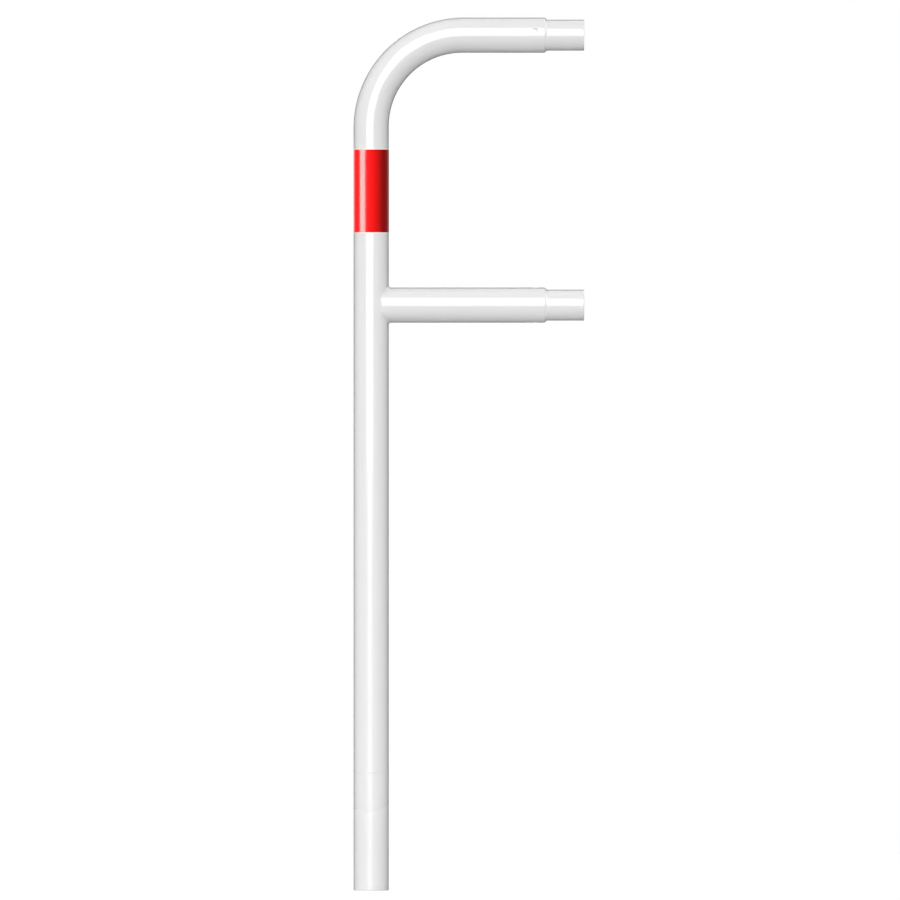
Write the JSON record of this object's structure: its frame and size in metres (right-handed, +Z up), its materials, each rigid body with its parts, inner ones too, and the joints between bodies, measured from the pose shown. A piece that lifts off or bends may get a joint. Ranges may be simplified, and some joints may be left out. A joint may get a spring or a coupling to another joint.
{
  "type": "driveway snow marker",
  "caption": "Tall tubular steel marker post with a bent top arm, a welded knee arm, a reduced plug-in spigot on each arm, and a red reflective band.",
  "frame": {"origin": "centre of the post's open foot, on the post's axis, in the plane of its square-cut end", "axes": "+Z up along the post, +X along both arms towards the spigots, -Y towards the front, where the upper arm's visible plug weld is, and +Y towards the back, where the band's seam is"},
  "size_m": [0.3966, 0.0612, 1.5],
  "materials": {
    "white_powder_coat": "gloss white powder coat over steel tube",
    "painted_weld": "weld bead under the same gloss white powder coat",
    "white_film": "white self-adhesive carrier film",
    "red_reflective_film": "gloss red retroreflective film"
  },
  "bodies": {
    "root": {"post_tube": "white_powder_coat", "foot_tube": "white_powder_coat", "knee_arm": "white_powder_coat", "upper_spigot": "white_powder_coat", "lower_spigot": "white_powder_coat", "foot_weld": "painted_weld", "knee_arm_weld": "painted_weld", "upper_spigot_weld": "painted_weld", "lower_spigot_weld": "painted_weld", "upper_plug_welds": "painted_weld", "lower_plug_welds": "painted_weld", "band_carrier": "white_film", "band_film": "red_reflective_film"}
  },
  "joints": []
}
